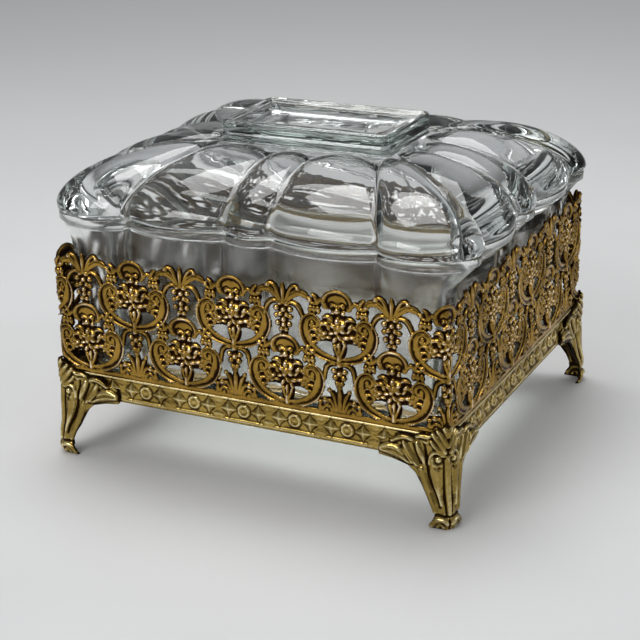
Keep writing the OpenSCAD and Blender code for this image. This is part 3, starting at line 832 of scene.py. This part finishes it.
def footField(v):
    along = np.arange(-v["reach"], v["reach"] + .01, v["cell"])
    s, z = np.meshgrid(along, np.arange(v["below"], v["above"], v["cell"]), indexing="ij")
    field = newField(s, z)
    field["gap"] = footOutline(s, z)
    field["height"] = v["bed"] + v["edgeRise"] * dome(np.clip(1 + field["gap"] / v["edgeWidth"], 0, 1))
    sides = bothSides(field, outlines=False, strength=v["rise"])

    def over(points, base, rise, section=rounded):
        for side in sides:
            side.stroke(points, base, rise, section)

    def cut(points, depth):
        for side in sides:
            side.groove(points, depth)

    # the wing: end leaf, arch leaf, two slanting leaves and a cup
    over([(22.8, 24.4, 1.3), (19.5, 24.6, 2.2), (16, 23.6, 2), (13, 21.6, 1.1)], .3, .9, veined)
    over([(19.3, 27.6, .7), (17, 29, 1), (14.5, 29.6, 1), (12.6, 29, .6)], .35, .8)
    over([(15.4, 27.8, .5), (14.2, 25.4, 1.2), (12.6, 22.8, 1.2), (10.9, 20.6, .5)], .35, .75)
    over([(10.8, 28.2, .5), (10, 26, 1.2), (9, 23.6, 1.1), (8.2, 21.6, .4)], .35, .75)
    over([(10.8, 30.4, .6), (9.2, 30.9, .9), (7.4, 30.7, .9), (6.2, 31.2, .6)], .35, .8)
    over([(8.8, 29.2, .4), (7.6, 28.8, .8), (6.6, 29.6, .5)], .3, .6)

    # V-shaped acanthus on the corner, over a brow
    over([(5.4, 32.2, .6), (3.8, 30.6, 1.2), (2.2, 28.6, 1.2), (.9, 26.4, .6)], .5, .8)
    over([(3.6, 33.4, .6), (2.2, 32, 1.1), (1, 30.2, 1.1), (.2, 28.6, .7)], .55, .8)
    over([(1.4, 34.8, .7), (.5, 33.6, 1.1), (0, 32.2, .9)], .6, .75)
    over([(5.9, 29.4, .4), (4.6, 28, .8), (2.8, 26.6, .8), (1.2, 25.4, .5)], .45, .7)
    over([(6.4, 22, .8), (5.8, 24.9, .65), (3.7, 26, .6), (1.9, 25, .5)], .4, .75)

    # the leg: drop-shaped petal with an eye, centre strip, outer flank and toe
    over([(5.3, 23.6, .9), (4.9, 19.6, 1.7), (4.1, 15, 1.3), (3.2, 11, .8), (2.9, 8.6, .5)], .4, .85)
    over([(3.6, 23.9, 1.1), (3.5, 23.6, 1.1)], .7, .6)
    over([(0, 25, .8), (0, 20, 1.25), (0, 14, 1.1), (0, 8, .9), (0, 5.4, .7)], .35, .6)
    over([(9.5, 19.5, 1.1), (8.3, 15.4, 1.35), (6.9, 11.5, 1.2), (5.8, 8, 1), (5.2, 5.4, .7)], .3, .6)
    over([(6.4, 1.1, 1.1), (4.9, 2.9, 1.1), (2.6, 3.5, .9), (.9, 2.3, .8)], .45, .75)
    over([(4.4, .9, .6), (3.4, 2, .6), (2.2, 1, .6)], .5, .5)

    # grooves beside the petal and the strip, between the leaves, round the eye, and at the ankle and toe
    flank = [(8.4, 28.4, .3), (7.6, 24, .35), (7.4, 20, .4), (6.3, 15.6, .4), (4.4, 11.4, .4), (3.5, 7.6, .4)]
    cut(flank, .7)
    cut([(1.9, 24.6, .3), (1.95, 20, .35), (1.8, 14, .35), (1.5, 8, .35), (1.2, 5, .3)], .65)
    cut([(16.6, 26, .25), (14.8, 23.4, .3), (12.6, 20.4, .3)], .55)
    cut([(12.2, 27.6, .25), (11, 24.6, .3), (9.6, 21.4, .3)], .55)
    cut([(2.6, 22.9, .3), (3.6, 22.1, .3), (4.7, 23, .25), (4.5, 24.6, .25), (3.2, 25, .25)], .45)
    cut([(4.6, 21.2, .25), (3.6, 20.7, .25), (2.7, 21.3, .25)], .35)
    cut([(6.4, 5.2, .5), (3.4, 4.9, .5), (0, 4.6, .6)], .5)
    cut([(0, 3.6, .3), (0, 0, .3)], .5)
    return field


def addFoot(name, field, v, mirrorX, mirrorY, node):
    def place(s, z, out):
        z = np.clip(z, 0, None)
        stands = np.interp(z, footProfile[:, 0], footProfile[:, 1])
        bend = np.interp(z, footProfile[:, 0], footProfile[:, 2])
        half = bend * pi / 4
        turn = np.clip(s / half, -1, 1) * pi / 4
        rest = np.sign(s) * np.clip(np.abs(s) - half, 0, None)
        reach = bend + out - v["sink"]
        x = stand["halfX"] + stands - bend + np.sin(turn + pi / 4) * reach + np.minimum(rest, 0)
        y = -stand["halfY"] - stands + bend - np.cos(turn + pi / 4) * reach + np.maximum(rest, 0)
        return np.column_stack([x * mirrorX, y * mirrorY, z])
    piece = stampedSheet(name, field, v["cell"], place, v["thickness"], False, footBrass, v["blur"])
    if mirrorX * mirrorY < 0:
        piece.data.flip_normals()
    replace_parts(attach(piece, "stand"), node)


footShape = footField(foot)
footCorners = {"front_right": (1, 1), "front_left": (-1, 1), "back_right": (1, -1), "back_left": (-1, -1)}
for corner, mirrors in footCorners.items():
    addFoot("foot_" + corner + "_stamped", footShape, foot, *mirrors, "foot_" + corner)

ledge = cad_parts["tray_ledge"]
ledge.data.materials.clear()
ledge.data.materials.append(plainBrass)
print("brass pieces made")


# the glass: stations round the lobed outline, and rings from them

glass = {
    "rim": 87., "top": 112.5, "creaseX": 73.4, "creaseY": 60., "lobe": 4.3, "ribHalf": 8.5, "ribShare": .7,
    "lobeEndX": 46., "lobeEndY": 44., "cornerLobe": 8.9, "cornerPower": 1.75, "wallX": 65.8, "wallY": 59.2,
    "wallCorner": 7.6, "wallPower": 2.6, "handleX": 31.7, "handleY": 18.8, "handleRound": 3., "ribTop": 7.,
    "domePower": 1.8, "hollowPower": 2.3, "puff": 2.6, "faint": .6, "archStart": .36, "archEnd": .05,
    "handleFoot": 105.4, "edge": 1.8, "wall": 4., "mouth": 5.6, "lipGap": 1., "lip": 2.2, "base": 25.25,
    "neck": 75., "floor": 30.2, "flange": 3.4, "shoulder": 1.6, "mouthDraw": .4, "wallDraw": 2.6,
    "footDraw": 3.2, "sill": 1.6, "floorRound": 5.}
steps = {"rib": 7, "lobe": 26, "corner": 30, "hollow": 40, "dome": 64, "outside": 24, "mouth": 8,
         "inside": 20, "floor": 6}


def between(a, b, t):
    return a + (b - a) * t


def stops(count):  # 1 / count, 2 / count ... 1
    return [k / count for k in range(1, count + 1)]


# Stations round a lobed outline, from the middle of the front. Each is a place, an outward direction,
# a swell, the handle's foot above it, and its share of a full swell
def outline(v, creaseX, creaseY, cornerLobe, cornerPower):
    def bulge(f):
        return 1 - (2 * f - 1) ** 2

    def ribAt(f):
        return v["ribShare"] * (1 - f * f)
    endX, endY, rib, lobe, ribTop = v["lobeEndX"], v["lobeEndY"], v["ribHalf"], v["lobe"], v["ribTop"]
    handleX, handleY, soft = v["handleX"], v["handleY"], v["handleRound"]
    rows = []
    for k in range(steps["rib"]):  # half the rib of the front
        f = k / steps["rib"]
        rows.append((rib * f, -creaseY, 0, -1, lobe * ribAt(f), ribTop * f, -handleY, ribAt(f)))
    for k in range(steps["lobe"]):  # its lobe
        f = k / steps["lobe"]
        rows.append((between(rib, endX, f), -creaseY, 0, -1, lobe * bulge(f),
                     between(ribTop, handleX - soft, f), -handleY, bulge(f)))
    for k in range(steps["corner"]):  # the corner's lobe
        f = k / steps["corner"]
        n, c = sin(f * pi / 2), cos(f * pi / 2)
        x = between(endX, creaseX, n ** (2 / cornerPower))
        y = -between(endY, creaseY, c ** (2 / cornerPower))
        rows.append((x, y, n, -c, cornerLobe * bulge(f),
                     handleX - soft * (1 - n), -handleY + soft * (1 - c), bulge(f)))
    for k in range(steps["lobe"]):  # the lobe of the right side
        f = k / steps["lobe"]
        rows.append((creaseX, -between(endY, rib, f), 1, 0, lobe * bulge(f),
                     handleX, -between(handleY - soft, ribTop, f), bulge(f)))
    for k in range(steps["rib"] + 1):  # half its rib
        f = 1 - k / steps["rib"]
        rows.append((creaseX, -rib * f, 1, 0, lobe * ribAt(f), handleX, -ribTop * f, ribAt(f)))
    quarter = np.array(rows, float)

    def mirrored(q, mx, my):
        return q * np.array([mx, my, mx, my, 1, mx, my, 1])
    whole = np.concatenate([quarter[:-1], mirrored(quarter[::-1], 1, -1)[:-1], mirrored(quarter, -1, -1)[:-1],
                            mirrored(quarter[::-1], -1, 1)[:-1]])
    return {"at": whole[:, :2], "outward": whole[:, 2:4], "swell": whole[:, 4:5], "handle": whole[:, 5:7],
            "share": whole[:, 7:]}


rim = outline(glass, glass["creaseX"], glass["creaseY"], glass["cornerLobe"], glass["cornerPower"])
wall = outline(glass, glass["wallX"], glass["wallY"], glass["wallCorner"], glass["wallPower"])
hollow = dict(rim)  # inside of the lid, with fainter lobes
for part in ("swell", "share"):
    hollow[part] = rim[part] * glass["faint"]


def levelRing(path, inset, z):
    return raised(path["at"] + path["outward"] * (path["swell"] - inset), z)


def levelRings(path, places):  # places are pairs of inset and height
    return [levelRing(path, inset, z) for inset, z in places]


def handleRings(places):  # round the handle, grown from its foot
    return [raised(rim["handle"] + rim["outward"] * grow, z) for grow, z in places]


# A ring of a dome over an outline, at the angle a: 0 at the rim, a quarter turn at the foot of the handle.
# The lobes fade where they run up to the handle
def domeRing(path, v, a, low, high, inset, power, drawn=0.):
    c, n = max(cos(a), 0), sin(a)
    r, h = c ** (2 / power), n ** (2 / power)
    arch = min(max((v["archStart"] - r) / (v["archStart"] - v["archEnd"]), 0), 1) ** 2
    lobe = np.clip(path["share"] - arch, 0, 1) ** .8
    full = np.where(path["share"] > 1e-6, path["swell"] / np.maximum(path["share"], 1e-6), 0)
    out = full * lobe * c - inset * r - drawn * (1 - r)
    xy = path["handle"] + (path["at"] - path["handle"]) * r + path["outward"] * out
    puffed = v["puff"] * lobe * sin(min(a * 1.6, pi / 2)) ** 1.5
    return raised(xy, low + (high - low) * h + puffed)


def lofted(name, rings, material, body, node):  # closed at both ends by shrinking rings to the middle
    def closing(ring):
        return [np.column_stack([ring[:, :2] * k, ring[:, 2]]) for k in (.66, .33, .04)]
    rings = closing(rings[0])[::-1] + rings + closing(rings[-1])
    n, count = len(rim["at"]), len(rings)
    grid = np.arange(count)[:, None] * n + np.arange(n)[None, :]
    ahead = np.roll(grid, -1, 1)
    faces = np.stack([ahead[:-1], ahead[1:], grid[1:], grid[:-1]], 2).reshape(-1, 4)
    made = newPiece(name, np.concatenate(rings), faces, None, material)
    bm = bmesh.new()
    bm.from_mesh(made.data)
    bm.verts.ensure_lookup_table()
    for ring in (grid[0][::-1], grid[-1]):
        bm.faces.new([bm.verts[int(k)] for k in ring]).smooth = True
    bmesh.ops.recalc_face_normals(bm, faces=bm.faces)
    bm.to_mesh(made.data)
    bm.free()
    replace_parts(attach(made, body), node)


def addLid(v):
    low, top, seat = v["rim"], v["top"], v["handleFoot"]
    lip = v["mouth"] + v["lipGap"]
    under = lip + v["lip"]
    quarterTurn = pi / 2
    rings = []
    for k in range(steps["hollow"], -1, -1):  # the hollow underside, from its middle down
        a = quarterTurn * k / steps["hollow"]
        rings.append(domeRing(hollow, v, a, low + 1, seat - v["wall"], under, v["hollowPower"], 1.))
    rings += levelRings(hollow, [(under - .1, low - 1.2), (under - .4, low - 2.2), (under - .8, low - 2.5)])
    rings += levelRings(rim, [
        (lip + .9, low - 2.5), (lip + .4, low - 2.2), (lip + .1, low - 1.4), (lip, low - .1),
        (lip - 1, low), (2.5, low), (.9, low), (.25, low + .25), (0, low + .8)])
    for k in range(steps["dome"] + 1):
        a = quarterTurn * k / steps["dome"]
        rings.append(domeRing(rim, v, a, low + v["edge"], seat, 0, v["domePower"]))
    rings += handleRings([  # a moulded line at the handle's foot, then its rounded edge
        (-.1, seat + .3), (-.2, seat + 1.2), (.3, seat + 1.7), (.45, seat + 2.2), (.3, seat + 2.7),
        (-.1, seat + 3.1), (-.1, top - 1.6), (.1, top - 1.1), (.05, top - .5), (-.3, top - .12), (-.8, top),
        (-1.8, top), (-2.4, top - .2), (-2.9, top - .8)])
    for kx, ky, drop in ((.85, .78, 1.5), (.74, .62, 2), (.5, .42, 2.2)):  # the dip in its top
        rings.append(raised(rim["handle"] * (kx, ky), top - drop))
    lofted("lobedLid", rings, clearGlass, "lid", "glass_lid")


def addTray(v):
    high, base, neck, floor = v["rim"], v["base"], v["neck"], v["floor"]
    shoulder, mouth, rounding = v["shoulder"], v["mouth"], v["floorRound"]
    flange, inner, sill = high - v["flange"], v["wall"] + v["mouthDraw"], base + v["sill"]
    rings = levelRings(wall, [(9, base + .6), (6.6, base + .5), (6, base), (5, base), (3.9, base + .5),
                              (v["footDraw"], sill)])
    for t in stops(steps["outside"]):
        rings.append(levelRing(wall, v["footDraw"] * (1 - t), between(sill, neck, t)))
    for t, f in ((.1, .25), (.34, .5), (.66, .75), (.9, .93)):  # flares out to the rim
        z = between(neck, flange - .3, f)
        rings.append(levelRing(wall, 0, z) * (1 - t) + levelRing(rim, shoulder, z) * t)
    rings += levelRings(rim, [
        (shoulder, flange), (.9, flange + .15), (.45, flange + .5), (.4, high - .7), (.6, high - .2),
        (1., high - .04), (mouth - 2, high - .04), (mouth - .6, high - .05), (mouth - .15, high - .3),
        (mouth, high - 1), (mouth + .2, high - 3)])
    for f in stops(steps["mouth"]):  # the mouth draws in to the wall
        t, z = (1 + cos(pi * f)) / 2, between(high - 3, neck - 2, f)
        rings.append(levelRing(wall, inner, z) * (1 - t) + levelRing(rim, mouth + .2, z) * t)
    for t in stops(steps["inside"]):
        rings.append(levelRing(wall, inner + v["wallDraw"] * t, between(neck - 2, floor + rounding, t)))
    for t in stops(steps["floor"]):  # rounded into the floor
        a = pi / 2 * t
        inset = inner + v["wallDraw"] + rounding * (1 - cos(a))
        rings.append(levelRing(wall, inset, floor + rounding * (1 - sin(a))))
    lofted("lobedDish", rings, dishGlass, "tray", "glass_tray")


addLid(glass)
addTray(glass)
print("glass made")

bpy.context.scene.view_settings.view_transform = "Standard"
